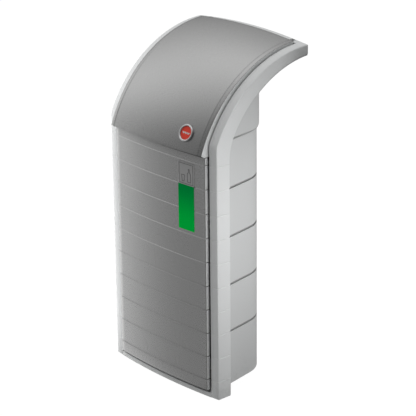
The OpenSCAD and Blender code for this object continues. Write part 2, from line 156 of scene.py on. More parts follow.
# %% [markdown]
# A panel's grooves, folds and rounded edges are all made on chosen faces or edges. They could
# be chosen by number, but a number changes with every extra corner, so each one is found by
# where it lies or which way it faces. A groove is two pairs of cuts with the middle pushed in,
# which is how a bead is rolled into a real sheet.

# %% Select by place, cut and push
SLACK = 2e-5


def pick(kind, test):
    """Selects the faces, edges or verts of the piece in hand that pass the test."""
    bpy.ops.mesh.select_mode(type={"verts": "VERT", "edges": "EDGE", "faces": "FACE"}[kind])
    bpy.ops.mesh.select_all(action="DESELECT")
    mesh = bmesh.from_edit_mesh(bpy.context.object.data)
    mesh.normal_update()
    for part in getattr(mesh, kind):
        if test(part):
            part.select_set(True)
    bmesh.update_edit_mesh(bpy.context.object.data)


def near(value, target):
    return abs(value - target) < SLACK


def edge_at(axis, target):
    """A test for edges whose two ends lie at one place along an axis."""
    return lambda edge: all(near(v.co[axis], target) for v in edge.verts)


def is_fold(edge, degrees=40):
    return edge.is_manifold and edge.calc_face_angle(0) > math.radians(degrees)


def face_out():
    bpy.ops.mesh.select_all(action="SELECT")
    bpy.ops.mesh.normals_make_consistent(inside=False)


def cut(place, direction, **kept):
    bpy.ops.mesh.select_all(action="SELECT")
    bpy.ops.mesh.bisect(plane_co=place, plane_no=direction, **kept)


def channel(axis, centre, half, depth, test=lambda vert: True, floor=0.0):
    """A groove across an axis: cut lines beside the middle, then push the middle inwards."""
    direction = Vector([float(k == axis) for k in range(3)])
    for offset in sorted({-half, -floor, floor, half}):
        cut(direction * (centre + offset), direction)
    pick("verts", lambda v: abs(v.co[axis] - centre) < floor + SLACK and test(v))
    bpy.ops.transform.shrink_fatten(value=-depth, use_even_offset=True)


# %% [markdown]
# Every piece ends the same way: its modifiers are applied, so that what is exported is plain
# mesh, its corners are shaded by angle, and it is tied to the body it moves with and to the
# finish it takes. One helper for all of them means that none can be forgotten.

# %% Apply, join and settle
def modify(piece, kind, **settings):
    """Adds a modifier, sets it and applies it."""
    bpy.ops.object.mode_set(mode="OBJECT")
    bpy.context.view_layer.objects.active = piece
    modifier = piece.modifiers.new(kind.title(), kind)
    for key, value in settings.items():
        setattr(modifier, key, value)
    bpy.ops.object.modifier_apply(modifier=modifier.name)
    return piece


def join(piece, *others):
    bpy.ops.object.mode_set(mode="OBJECT")
    bpy.ops.object.select_all(action="DESELECT")
    for other in (piece, *others):
        other.select_set(True)
    bpy.context.view_layer.objects.active = piece
    bpy.ops.object.join()
    return piece


def settle(piece, body, slot, *nodes, smooth=32):
    """The last step of every piece: shading, body, slot and the node it stands for."""
    if bpy.context.object.mode == "EDIT":
        bpy.ops.object.mode_set(mode="OBJECT")
    bpy.ops.object.select_all(action="DESELECT")
    piece.select_set(True)
    bpy.context.view_layer.objects.active = piece
    bpy.ops.object.shade_smooth_by_angle(angle=math.radians(smooth))
    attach(piece, body)
    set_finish(piece, slot)
    if nodes:
        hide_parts(*nodes)
    low, high = ([round(end(v.co[k] for v in piece.data.vertices), 4) for k in range(3)]
                 for end in (min, max))
    print(piece.name, len(piece.data.polygons), "faces, from", low, "to", high)
    return piece


# %% [markdown]
# ## The crown
# Seen from above, the whole front bulges a little: stiles, door and flap all lie on one
# very large circle. Measuring from that circle keeps the gaps between them even.

# %% Numbers that the whole front shares
CROWN_R = 2.347
HALF_WIDTH = 0.300
CROWN_Y = math.sqrt(CROWN_R ** 2 - HALF_WIDTH ** 2)
STILE_DEPTH = 0.064
OPENING_HALF = 0.262
GROOVES = [0.075 + 0.09525 * k for k in range(10)]


def crown(x):
    """How far the front stands out at x, measured from the frame's outer edges."""
    return math.sqrt(CROWN_R ** 2 - x ** 2) - CROWN_Y


def crown_chain(half, proud, z, steps):
    """Draws the crowned front from left to right, standing proud of the frame."""
    radius = CROWN_R + proud
    sweep = math.degrees(math.asin(half / radius))
    start = (-half, CROWN_Y - math.sqrt(radius ** 2 - half ** 2), z)
    return Pen(start).arc((0, CROWN_Y, z), Z_AXIS, 2 * sweep, steps)


print("the crown rises", round(1000 * crown(0), 1), "mm in the middle of the front")

# %% [markdown]
# ## Door panel
# The door is one crowned skin folded back on all four sides, crossed by fine shadow lines.
# It could be a block with a bump map, but the lines catch light from above, so they are
# real grooves: three cuts each, with the middle one pushed in. Solidify gives the skin its
# thickness last, so that the grooves show on the inside as well.

# %% Draw, fold and groove the door
DOOR_HALF, DOOR_PROUD = 0.252, 0.010
DOOR_LOW, DOOR_HIGH = 0.030, 0.962
DOOR_BACK, DOOR_SHEET = 0.001, 0.0025
LINE_HALF, LINE_DEPTH = 0.0019, 0.0016
FRONT_STEPS = 24


def build_door():
    door = new_piece("door_skin")
    pen = crown_chain(DOOR_HALF, DOOR_PROUD, DOOR_LOW, FRONT_STEPS)
    pen.line((DOOR_HALF, DOOR_BACK, DOOR_LOW))
    pick("verts", lambda v: near(v.co.x, -DOOR_HALF))
    bpy.ops.mesh.extrude_region_move(
        TRANSFORM_OT_translate={"value": (0, DOOR_BACK - front_y(DOOR_HALF, DOOR_PROUD), 0)})
    bpy.ops.mesh.select_all(action="SELECT")
    bpy.ops.mesh.extrude_region_move(TRANSFORM_OT_translate={"value": (0, 0, DOOR_HIGH - DOOR_LOW)})
    for z in (DOOR_LOW, DOOR_HIGH):
        pick("edges", edge_at(2, z))
        bpy.ops.mesh.edge_face_add()
    face_out()
    pick("edges", is_fold)
    bpy.ops.mesh.bevel(offset=0.0025, segments=3, affect="EDGES")
    for z in GROOVES:
        channel(2, z, LINE_HALF, LINE_DEPTH)
    modify(door, "SOLIDIFY", thickness=DOOR_SHEET, offset=-1)
    return door


def front_y(x, proud):
    """Where the crowned front lies at x, when it stands proud of the frame."""
    return CROWN_Y - math.sqrt((CROWN_R + proud) ** 2 - x ** 2)


settle(build_door(), "door", "satin_panel", "door_panel")

# %% [markdown]
# ## Flap panel
# The flap is a shell bent two ways: the crown of the front, swept along the big arch. Spin
# does exactly that in one go. Two flat cheeks close its sides; each is bridged between the
# skin's edge and a second, slightly smaller arc. The skin is then cut level at the lip and
# folded inwards there, and two fine creases run along its sides.

# %% Sweep the skin and bridge the cheeks
FLAP_Y, ARCH_Y, ARCH_Z = 0.4496, 0.460, 0.799
FLAP_HALF = 0.2565
FLAP_R = 0.5172 - crown(0.256)
FLAP_LOW, FLAP_HIGH = 14.0, 87.6
LIP_Z, LIP_DEPTH = 0.973, 0.015
CHEEK_R, CHEEK_LOW, CHEEK_HIGH = 0.490, 14.8, 84.9
CREASE_X, CREASE_HALF, CREASE_DEPTH = 0.238, 0.0014, 0.0009
REAR_FOLD, FLAP_SHEET = 0.007, 0.003
ARC_STEPS = 46


def on_arch(e, radius, y=FLAP_Y, z=ARCH_Z):
    """A point on the side view's arch at an elevation in degrees."""
    return y - radius * math.cos(math.radians(e)), z + radius * math.sin(math.radians(e))


def build_flap():
    flap = new_piece("flap_skin")
    low = math.radians(FLAP_LOW)
    sweep = math.degrees(math.asin(FLAP_HALF / CROWN_R))
    start = on_arch(FLAP_LOW, FLAP_R + crown(FLAP_HALF))
    centre = on_arch(FLAP_LOW, FLAP_R - CROWN_Y)
    Pen((-FLAP_HALF, *start)).arc((0, *centre), Vector((0, math.sin(low), math.cos(low))),
                                  2 * sweep, FRONT_STEPS)
    bpy.ops.mesh.select_all(action="SELECT")
    bpy.ops.mesh.spin(steps=ARC_STEPS, angle=math.radians(FLAP_HIGH - FLAP_LOW),
                      center=(0, FLAP_Y, ARCH_Z), axis=X_AXIS)
    for x in (-FLAP_HALF, FLAP_HALF):
        pen = Pen((x, *on_arch(CHEEK_LOW, CHEEK_R, ARCH_Y)))
        pen.arc((x, ARCH_Y, ARCH_Z), X_AXIS, CHEEK_LOW - CHEEK_HIGH, ARC_STEPS)
        pick("edges", edge_at(0, x))
        bpy.ops.mesh.bridge_edge_loops()
    cut((0, 0, LIP_Z), Z_AXIS, clear_inner=True)
    corner_y = FLAP_Y - math.sqrt((FLAP_R + crown(FLAP_HALF)) ** 2 - (LIP_Z - ARCH_Z) ** 2)
    pick("faces", lambda f: abs(f.normal.x) > 0.9 and f.calc_center_median().z < LIP_Z + 0.03)
    bpy.ops.mesh.bisect(plane_co=(0, corner_y + LIP_DEPTH, 0), plane_no=Y_AXIS)
    pick("edges", lambda e: edge_at(2, LIP_Z)(e) and not edge_at(0, FLAP_HALF)(e)
         and not edge_at(0, -FLAP_HALF)(e))
    bpy.ops.mesh.extrude_region_move(TRANSFORM_OT_translate={"value": (0, LIP_DEPTH, 0)})
    inward = Vector((0, math.cos(math.radians(FLAP_HIGH)), -math.sin(math.radians(FLAP_HIGH))))
    pick("edges", lambda e: e.is_boundary and all(on_rear_edge(v.co) for v in e.verts))
    bpy.ops.mesh.extrude_region_move(TRANSFORM_OT_translate={"value": inward * REAR_FOLD})
    bpy.ops.mesh.select_all(action="SELECT")
    bpy.ops.mesh.remove_doubles(threshold=SLACK)
    face_out()
    pick("edges", is_fold)
    bpy.ops.mesh.bevel(offset=0.0022, segments=3, affect="EDGES")
    for x in (-CREASE_X, CREASE_X):
        channel(0, x, CREASE_HALF, CREASE_DEPTH, on_skin)
    modify(flap, "SOLIDIFY", thickness=FLAP_SHEET, offset=-1)
    return join(flap, build_cheek_toe())


def build_cheek_toe():
    """The lowest corner of each cheek, which reaches down beside the door's upper edge."""
    toe = new_piece("cheek_toe")
    x, low = FLAP_HALF - 0.0001, DOOR_HIGH + 0.002
    pen = Pen((x, -0.0360, LIP_Z + 0.001))
    pen.line((x, -0.0230, low)).line((x, 0.0010, low)).line((x, 0.0010, LIP_Z + 0.004))
    bpy.ops.mesh.select_all(action="SELECT")
    bpy.ops.mesh.edge_face_add()
    bpy.ops.mesh.extrude_region_move(TRANSFORM_OT_translate={"value": (-0.0027, 0, 0)})
    face_out()
    modify(toe, "BEVEL", width=0.0004, segments=2)
    modify(toe, "MIRROR", use_mirror_merge=False)
    return toe


def on_rear_edge(point):
    """True on the skin's upper rear edge, which lies in one plane through the arch's axis."""
    high = math.radians(FLAP_HIGH)
    aside = (point.y - FLAP_Y) * math.sin(high) + (point.z - ARCH_Z) * math.cos(high)
    return abs(aside) < 3e-5 and abs(point.x) <= FLAP_HALF + 1e-5


def on_skin(vert):
    return math.hypot(vert.co.y - FLAP_Y, vert.co.z - ARCH_Z) > FLAP_R - 0.0005


flap = settle(build_flap(), "flap", "satin_panel", "flap_panel")

# %% [markdown]
# ## Front frame
# Each side of the frame is one moulding: a straight stile below, and an arm that follows
# the arch above. Four long chains describe its four edges. They have the same number of
# corners, so Bridge can lay clean faces between each pair. The blend arcs where the stile
# turns into the arm are what makes the side view look moulded and not cut from a plate.

# %% One side of the frame
ARM_END = 0.461
BLEND_STEPS = 8
OUTER_KINK, OUTER_BLEND_Y, OUTER_BLEND, OUTER_SWEEP = 0.994, 0.060, 26.0, 66.0
INNER_KINK, INNER_BLEND_Y, INNER_BLEND, INNER_SWEEP = 0.9402, 0.264, 31.3, 60.7
UNDER_Y, UNDER_Z, UNDER_R = 0.493, 0.801, 0.468


def outer_chain(x, proud):
    """The front edge: up the stile, round the blend and along the top of the arm."""
    pen = Pen((x, -proud, 0)).line((x, -proud, OUTER_KINK))
    pen.arc((x, OUTER_BLEND_Y, OUTER_KINK), X_AXIS, -OUTER_BLEND, BLEND_STEPS)
    pen.arc((x, ARCH_Y, ARCH_Z), X_AXIS, -OUTER_SWEEP, ARC_STEPS)


def inner_chain(x):
    """The rear edge: up the back of the stile and along the underside of the arm."""
    pen = Pen((x, STILE_DEPTH, 0)).line((x, STILE_DEPTH, INNER_KINK))
    pen.arc((x, INNER_BLEND_Y, INNER_KINK), X_AXIS, -INNER_BLEND, BLEND_STEPS)
    pen.arc((x, UNDER_Y, UNDER_Z), X_AXIS, -INNER_SWEEP, ARC_STEPS)


def is_open_at(x):
    return lambda e: e.is_boundary and edge_at(0, x)(e)


def build_side():
    side = new_piece("frame_moulding")
    outer_chain(HALF_WIDTH, 0)
    outer_chain(OPENING_HALF, crown(OPENING_HALF))
    bpy.ops.mesh.select_all(action="SELECT")
    bpy.ops.mesh.bridge_edge_loops()
    inner_chain(OPENING_HALF)
    pick("edges", lambda e: e.is_wire or is_open_at(OPENING_HALF)(e))
    bpy.ops.mesh.bridge_edge_loops()
    inner_chain(HALF_WIDTH)
    pick("edges", lambda e: e.is_wire or is_open_at(OPENING_HALF)(e))
    bpy.ops.mesh.bridge_edge_loops()
    pick("edges", is_open_at(HALF_WIDTH))
    bpy.ops.mesh.bridge_edge_loops()
    pick("edges", lambda e: e.is_boundary and edge_at(2, 0)(e))
    bpy.ops.mesh.edge_face_add()
    cut((0, ARM_END, 0), Y_AXIS, clear_outer=True, use_fill=True)
    face_out()
    pick("edges", is_fold)
    bpy.ops.mesh.bevel(offset=0.003, segments=3, affect="EDGES")
    for z in GROOVES:
        channel(2, z, 0.0018, 0.0013, lambda v: v.co.x > HALF_WIDTH - 0.01 or v.co.y < 0.03)
    return side


side = build_side()
modify(side, "MIRROR", use_mirror_merge=False)
print("frame sides:", len(side.data.polygons), "faces")

# %% [markdown]
# The two sides are tied by a low sill and by a rail under the flap's rear edge. The rail is
# notched where the flap's two lugs swing, and both ends run a little way into the arms.

# %% Sill and top rail
SILL_HIGH, INTO_SIDE = 0.018, 0.001
RAIL_FRONT, RAIL_BACK, RAIL_TOP_R = 0.432, 0.4605, 0.505
LUG_X, LUG_PLACE, LUG_NOTCH = 0.229, (0.442, 1.327), (0.020, 0.030, 0.100)


def build_sill():
    sill = new_piece("sill")
    half = OPENING_HALF + INTO_SIDE
    crown_chain(half, 0, 0, FRONT_STEPS).line((half, STILE_DEPTH, 0))
    bpy.ops.mesh.extrude_region_move(TRANSFORM_OT_translate={"value": (-2 * half, 0, 0)})
    bpy.ops.mesh.select_all(action="SELECT")
    bpy.ops.mesh.edge_face_add()
    bpy.ops.mesh.extrude_region_move(TRANSFORM_OT_translate={"value": (0, 0, SILL_HIGH)})
    face_out()
    pick("edges", is_fold)
    bpy.ops.mesh.bevel(offset=0.0015, segments=2, affect="EDGES")
    bpy.ops.object.mode_set(mode="OBJECT")
    return sill


def build_rail():
    rail = new_piece("rail")
    half = OPENING_HALF + INTO_SIDE
    slope = 0.0006
    peak = ARCH_Z + math.sqrt((RAIL_TOP_R + crown(0)) ** 2 - (ARCH_Y - RAIL_FRONT) ** 2) - slope
    low = UNDER_Z + math.sqrt(UNDER_R ** 2 - (UNDER_Y - RAIL_FRONT) ** 2)
    sag = CROWN_R - math.sqrt(CROWN_R ** 2 - half ** 2)
    sweep = math.degrees(math.asin(half / CROWN_R))
    pen = Pen((-half, RAIL_FRONT, peak - sag))
    pen.arc((0, RAIL_FRONT, peak - CROWN_R), Y_AXIS, 2 * sweep, FRONT_STEPS)
    pen.line((half, RAIL_FRONT, low)).line((-half, RAIL_FRONT, low))
    bpy.ops.mesh.select_all(action="SELECT")
    bpy.ops.mesh.edge_face_add()
    bpy.ops.mesh.extrude_region_move(
        TRANSFORM_OT_translate={"value": (0, RAIL_BACK - RAIL_FRONT, slope)})
    face_out()
    pick("edges", is_fold)
    bpy.ops.mesh.bevel(offset=0.0015, segments=2, affect="EDGES")
    bpy.ops.object.mode_set(mode="OBJECT")
    for x in (-LUG_X, LUG_X):
        bpy.ops.mesh.primitive_cube_add(size=1, location=(x, *LUG_PLACE), scale=LUG_NOTCH)
        cutter = bpy.context.object
        modify(rail, "BOOLEAN", operation="DIFFERENCE", object=cutter, solver="EXACT")
        bpy.data.objects.remove(cutter)
    return rail


join(side, build_sill(), build_rail())
settle(side, "cabinet", "frame_plastic", "front_frame")

# %% [markdown]
# ## Rear shell and head shell
# Both are thin open shells with big rounded back corners, blown or vacuum formed on the real
# bin. The plan is drawn once with the pen and extruded upwards. It could be a bent plate, but
# the sides lean in toward the back, and a drawn plan holds that lean exactly.

# %% Shell outlines
CORNER_X, CORNER_Y = 0.1395, 0.164
SHELL_HALF, HEAD_HALF = 0.295, 0.296
SHELL_R, HEAD_R = 0.135, 0.144
SHELL_WALL, HEAD_RISE = 0.004, 0.24
BANDS = (0.266, 0.456, 0.647, 0.837)
SHELL_LOW, SHELL_TOP, HEAD_LOW = 0.048, 1.019, 1.0255


def shell_chain(half, radius, z, inset=0.0):
    """The plan from the right stile round the back to the left stile."""
    dx, dy = half - CORNER_X, STILE_DEPTH - CORNER_Y
    lean = math.atan2(dy, dx) + math.acos(radius / math.hypot(dx, dy))
    x = half - inset / math.cos(lean)
    r = radius - inset
    turn = 90 - math.degrees(lean)
    pen = Pen((x, STILE_DEPTH, z))
    pen.line((CORNER_X + r * math.cos(lean), CORNER_Y + r * math.sin(lean), z), 2)
    pen.arc((CORNER_X, CORNER_Y, z), Z_AXIS, turn, 16)
    pen.line((-CORNER_X, CORNER_Y + r, z), 4)
    pen.arc((-CORNER_X, CORNER_Y, z), Z_AXIS, turn, 16)
    pen.line((-x, STILE_DEPTH, z), 2)


def raise_wall(height):
    bpy.ops.mesh.select_all(action="SELECT")
    bpy.ops.mesh.extrude_region_move(TRANSFORM_OT_translate={"value": (0, 0, height)})
    face_out()


def roll_edge(z, step, depth):
    """Rounds a shell's upper or lower edge inwards by a few cuts."""
    for share in (1.0, 0.55, 0.2):
        cut((0, 0, z + step * share), Z_AXIS)
    for share, in_by in ((0.2, 0.40), (0.0, 1.0)):
        pick("verts", lambda v: near(v.co.z, z + step * share))
        bpy.ops.transform.shrink_fatten(value=-depth * in_by)
    pick("verts", lambda v: near(v.co.z, z + step * 0.55))
    bpy.ops.transform.shrink_fatten(value=-depth * 0.12)


def trim_under_arch(piece):
    """Keeps what lies inside a large drum that just clears the underside of the arms."""
    bpy.ops.object.mode_set(mode="OBJECT")
    bpy.ops.mesh.primitive_cylinder_add(vertices=360, radius=UNDER_R - 0.0003, depth=0.7,
                                        location=(0, UNDER_Y, UNDER_Z), rotation=(0, math.pi / 2, 0))
    drum = bpy.context.object
    modify(piece, "BOOLEAN", operation="INTERSECT", object=drum, solver="EXACT")
    bpy.data.objects.remove(drum)


# %% [markdown]
# Four shallow bands stiffen the lower shell; each is a strip between cuts, pushed in. A collar
# inside its upper edge carries the head shell, so the seam between the two looks down on solid
# plastic and not into the bin. Two flanges take the screws from the frame. They could be part
# of the same skin, but three simple pieces joined at the end keep every wall clean.

# %% Lower shell, collar and flanges
BAND_HALF, BAND_FLOOR, BAND_DEPTH = 0.0043, 0.0036, 0.0060
COLLAR_LOW, COLLAR_RISE, COLLAR_INSET, COLLAR_WALL = 1.002, 0.038, 0.0072, 0.003
FLANGE_LOW, FLANGE_HIGH, FLANGE_IN, FLANGE_OUT = 0.0545, 0.985, 0.269, 0.2925


def build_rear_shell():
    shell = new_piece("rear_moulding")
    shell_chain(SHELL_HALF, SHELL_R, SHELL_LOW)
    raise_wall(SHELL_TOP - SHELL_LOW)
    for z in BANDS:
        channel(2, z, BAND_HALF, BAND_DEPTH, floor=BAND_FLOOR)
    roll_edge(SHELL_TOP, -0.004, 0.002)
    modify(shell, "SOLIDIFY", thickness=SHELL_WALL, offset=-1)
    return shell


def build_collar():
    collar = new_piece("collar")
    shell_chain(SHELL_HALF, SHELL_R, COLLAR_LOW, inset=COLLAR_INSET)
    raise_wall(COLLAR_RISE)
    modify(collar, "SOLIDIFY", thickness=COLLAR_WALL, offset=-1)
    trim_under_arch(collar)
    return collar


def build_flanges():
    flanges = new_piece("flanges")
    Pen((FLANGE_IN, STILE_DEPTH, FLANGE_LOW)).line((FLANGE_OUT, STILE_DEPTH, FLANGE_LOW))
    raise_wall(FLANGE_HIGH - FLANGE_LOW)
    modify(flanges, "SOLIDIFY", thickness=SHELL_WALL, offset=0)
    bpy.ops.object.mode_set(mode="EDIT")
    bpy.ops.mesh.select_all(action="SELECT")
    bpy.ops.transform.translate(value=(0, SHELL_WALL / 2, 0))
    modify(flanges, "BEVEL", width=0.0008, segments=2)
    modify(flanges, "MIRROR", use_mirror_merge=False)
    return flanges


rear = join(build_rear_shell(), build_collar(), build_flanges())
settle(rear, "cabinet", "shell_plastic", "rear_shell")

# %% [markdown]
# The head shell closes the arch from behind. It is a little wider than the lower shell and has
# a rolled lower edge, so rain runs off past the seam. Its top follows the underside of the
# arms; a Boolean with a large drum trims that curve exactly, where cutting by hand would leave
# a gap somewhere along it.

# %% Head shell
def build_head_shell():
    head = new_piece("head_moulding")
    shell_chain(HEAD_HALF, HEAD_R, HEAD_LOW)
    raise_wall(HEAD_RISE)
    roll_edge(HEAD_LOW, 0.008, 0.0035)
    modify(head, "SOLIDIFY", thickness=SHELL_WALL, offset=-1)
    trim_under_arch(head)
    return head


settle(build_head_shell(), "cabinet", "shell_plastic", "head_shell")

# %% [markdown]
# ## Label and green strip
# Both are thin films on the crowned door. Each starts as a short arc of the crown, is pulled
# up to a patch, gets small rounded corners, and then a real thickness with a softened edge.

# %% Films on the door
def build_film(name, x0, x1, z0, z1, thickness, corner):
    film = new_piece(name)
    radius = CROWN_R + DOOR_PROUD
    angles = [math.degrees(math.asin(x / radius)) for x in (x0, x1)]
    Pen((x0, front_y(x0, DOOR_PROUD), z0)).arc((0, CROWN_Y, z0), Z_AXIS, angles[1] - angles[0], 6)
    raise_wall(z1 - z0)
    pick("faces", lambda f: f.normal.y > 0)
    bpy.ops.mesh.flip_normals()
    pick("verts", lambda v: (near(v.co.x, x0) or near(v.co.x, x1)) and (near(v.co.z, z0) or near(v.co.z, z1)))
    bpy.ops.mesh.bevel(offset=corner, segments=4, affect="VERTICES")
    modify(film, "SOLIDIFY", thickness=thickness, offset=1)
    modify(film, "BEVEL", width=thickness * 0.3, segments=2, limit_method="ANGLE",
           angle_limit=math.radians(50))
    return film


settle(build_film("label_film", 0.1175, 0.200, 0.8363, 0.924, 0.0015, 0.0022),
       "door", "label_sheet", "label_plate")
settle(build_film("strip_film", 0.1165, 0.197, 0.659, 0.836, 0.0008, 0.0010),
       "door", "green_film", "colour_strip")

# %% [markdown]
# ## Shader helpers
# Finishes are written as expressions. A Wire is one output of a node; adding or multiplying
# wires adds the Math nodes that do it. Everything else is made by one method of Finish,
# which sets a node up and connects it.

# %% Wires and finishes
class Wire:
    """One output socket; the operators add Math nodes."""

    def __init__(self, tree, socket):
        self.tree, self.socket = tree, socket

    def calc(self, operation, first, second):
        node = self.tree.nodes.new("ShaderNodeMath")
        node.operation = operation
        for slot, value in zip(node.inputs, (first, second)):
            plug(self.tree, slot, value)
        return Wire(self.tree, node.outputs[0])

    def __add__(self, other):
        return self.calc("ADD", self, other)

    def __radd__(self, other):
        return self.calc("ADD", other, self)

    def __sub__(self, other):
        return self.calc("SUBTRACT", self, other)

    def __rsub__(self, other):
        return self.calc("SUBTRACT", other, self)

    def __mul__(self, other):
        return self.calc("MULTIPLY", self, other)

    def __rmul__(self, other):
        return self.calc("MULTIPLY", other, self)

    def __pow__(self, other):
        return self.calc("POWER", self, other)


def plug(tree, slot, value):
    """Links a wire into a socket, or sets the socket's own value."""
    if isinstance(value, Wire):
        tree.links.new(value.socket, slot)
    else:
        slot.default_value = value


def make_node(tree, kind, settings=None, sockets=None, out=0):
    """Adds a node, sets it, fills its sockets and returns one of its outputs as a wire."""
    node = tree.nodes.new(kind)
    for key, value in (settings or {}).items():
        setattr(node, key, value)
    for key, value in (sockets or {}).items():
        plug(tree, node.inputs[key], value)
    return Wire(tree, node.outputs[out])


class Finish:
    """A Principled material whose constants sit on the shader's own sockets."""

    def __init__(self, name, **shader):
        self.material = bpy.data.materials.new(name)
        self.material.use_nodes = True
        self.tree = self.material.node_tree
        self.shader = next(n for n in self.tree.nodes if n.type == "BSDF_PRINCIPLED")
        for key, value in shader.items():
            self.shader.inputs[key.replace("_", " ").title().replace("Ior", "IOR")].default_value = value
        self.place = self.node("ShaderNodeTexCoord", out="Object")

    def node(self, kind, settings=None, sockets=None, out=0):
        return make_node(self.tree, kind, settings, sockets, out)

    def stretched(self, x, y, z):
        return self.node("ShaderNodeMapping", sockets={"Vector": self.place, "Scale": (x, y, z)})

    def noise(self, scale, detail=2.0, roughness=0.5, vector=None):
        return self.node("ShaderNodeTexNoise", sockets={
            "Vector": vector or self.place, "Scale": scale, "Detail": detail, "Roughness": roughness})

    def span(self, value, low, high, to_low=0.0, to_high=1.0):
        return self.node("ShaderNodeMapRange", {"interpolation_type": "SMOOTHSTEP"}, {
            "Value": value, "From Min": low, "From Max": high, "To Min": to_low, "To Max": to_high})

    def blend(self, share, first, second):
        return self.node("ShaderNodeMix", {"data_type": "RGBA"}, {
            "Factor": share, 6: first, 7: second}, out=2)

    def along(self, axis):
        return self.node("ShaderNodeSeparateXYZ", sockets={"Vector": self.place}, out=axis)

    def apart(self, first, second):
        """How far two values lie from each other."""
        return self.node("ShaderNodeMath", {"operation": "ABSOLUTE"}, {0: first - second})

    def feed(self, **sockets):
        for key, value in sockets.items():
            plug(self.tree, self.shader.inputs[key.replace("_", " ").title()], value)
        return self

    def bump(self, height, distance, strength=1.0):
        normal = self.node("ShaderNodeBump", sockets={
            "Height": height, "Distance": distance, "Strength": strength}, out="Normal")
        return self.feed(normal=normal)


def grey(level, tint=(1.0, 1.0, 1.0)):
    return (level * tint[0], level * tint[1], level * tint[2], 1.0)


# %% [markdown]
# ## Moulded plastics
# The pale mouldings have a fine spark-eroded grain, a trace of uneven colour, and a little
# scuffing near the floor. The grain could be painted and wrapped round, but noise in the
# object's own space has no joins and stays sharp close up. At the bands and at the seam behind,
# a narrow darker belt of painted shade stands in for the shade inside those recesses.

# %% Moulded plastics
COOL = (0.985, 1.0, 1.0)


def moulded(name, level, roughness, grain=1500.0, scuff=0.06, tint=COOL, painted_light_heights=()):
    finish = Finish(name, roughness=roughness, specular_ior_level=0.45)
    cloud = finish.noise(3.5, 3)
    speck = finish.noise(grain, 2)
    fade = finish.span(finish.along("Z"), 0.0, 0.16, 1.0, 0.0)
    dirt = fade * finish.span(finish.noise(38, 5, 0.6), 0.42, 0.75) * scuff * 4
    tone = finish.blend(cloud, grey(level * 0.985, tint), grey(level * 1.015, tint))
    tone = finish.blend(finish.span(speck, 0.3, 0.7) * 0.25, tone, grey(level * 0.94, tint))
    # A narrow darker belt at each listed height: painted shade for the recess of a band or the gap between the
    # shells.
    for z in painted_light_heights:
        off = finish.apart(finish.along("Z"), z)
        tone = finish.blend(finish.span(off, BAND_HALF, 0.0050, 0.85, 0.0), tone, grey(level * 0.52, tint))
    finish.feed(base_color=finish.blend(dirt, tone, grey(level * 0.45, (1.0, 0.97, 0.92))))
    finish.feed(roughness=roughness - 0.05 + finish.noise(24, 4) * 0.10)
    return finish.bump(speck * 0.7 + finish.noise(grain * 0.35, 2) * 0.3, 0.00012, 0.5)


FINISHES = {
    "frame_plastic": moulded("frame_plastic", 0.76, 0.42),
    "shell_plastic": moulded("shell_plastic", 0.63, 0.46, painted_light_heights=(*BANDS, (SHELL_TOP + HEAD_LOW) / 2)),
    "dark_plastic": moulded("dark_plastic", 0.055, 0.48, scuff=0.0, tint=(1.0, 1.0, 1.04)),
    "inner_sheet": moulded("inner_sheet", 0.50, 0.5, grain=1100.0, scuff=0.0),
    "rubber": moulded("rubber", 0.022, 0.72, grain=800.0, scuff=0.0),
}

# %% [markdown]
# ## Silver lacquer
# Door and flap are sprayed silver-grey: fine metallic flakes under a satin coat that is never
# quite flat. The spray reaches the front only, so the folded sides run out to the bare pale
# moulding. The fine lines carry painted shade low down and a painted highlight higher up, and
# the flap's creases a thin line of painted shade. A plain metal would do from afar, but it
# would show none of this close up.

# %% Silver lacquer
def silver_lacquer(name, half, painted_light_heights=(), shaded_crease=None):
    """Silver on the outside, running out to bare pale moulding on the folded sides beyond half."""
    finish = Finish(name, metallic=0.88, roughness=0.28, coat_roughness=0.28)
    aside = finish.apart(finish.along("X"), 0.0)
    bare = finish.span(aside, half - 0.0004, half - 0.0001)
    flake = finish.node("ShaderNodeTexVoronoi", sockets={"Vector": finish.place, "Scale": 1400.0}, out="Color")
    spark = finish.node("ShaderNodeSeparateColor", sockets={"Color": flake}, out="Red")
    cloud = finish.noise(5.0, 3)
    tone = finish.blend(spark, grey(0.315), grey(0.345, (1.0, 1.0, 0.99)))
    tone = finish.blend(cloud * 0.35, tone, grey(0.32, (0.99, 1.0, 1.0)))
    # Painted shade in the lower fine lines, fading upwards, and a painted highlight in the lines above half a
    # metre.
    for z in painted_light_heights:
        off = finish.apart(finish.along("Z"), z)
        strength, shade = (0.75 - 1.1 * z, 0.12) if z < 0.5 else (0.5, 0.46)
        tone = finish.blend(finish.span(off, 0.0014, 0.0020, strength, 0.0), tone, grey(shade))
    # A thin line of painted shade along each of the flap's creases.
    if shaded_crease:
        off = finish.apart(aside, shaded_crease)
        tone = finish.blend(finish.span(off, 0.0004, 0.0010, 0.6, 0.0), tone, grey(0.14))
    finish.feed(base_color=finish.blend(bare, tone, grey(0.66, COOL)))
    finish.feed(metallic=0.88 * (1 - bare))
    finish.feed(roughness=0.25 + spark * 0.02 + cloud * 0.03 + bare * 0.15)
    finish.feed(coat_weight=0.12 + cloud * 0.06)
    return finish.bump(finish.noise(420, 2), 0.00002, 0.12)


FINISHES["satin_panel"] = silver_lacquer("satin_door", DOOR_HALF, painted_light_heights=GROOVES)
FLAP_FINISH = silver_lacquer("satin_flap", FLAP_HALF, shaded_crease=CREASE_X)
print("lacquers:", FINISHES["satin_panel"].material.name, FLAP_FINISH.material.name)

# %% [markdown]
# ## Metals
# Small fittings are zinc-plated steel with faint streaks, the inner bin is galvanised sheet
# with its patchwork of crystals, and the badge's ring is dull chrome. One grey metal could
# serve for all three, but the crystals are how anyone tells a galvanised bin at a glance.

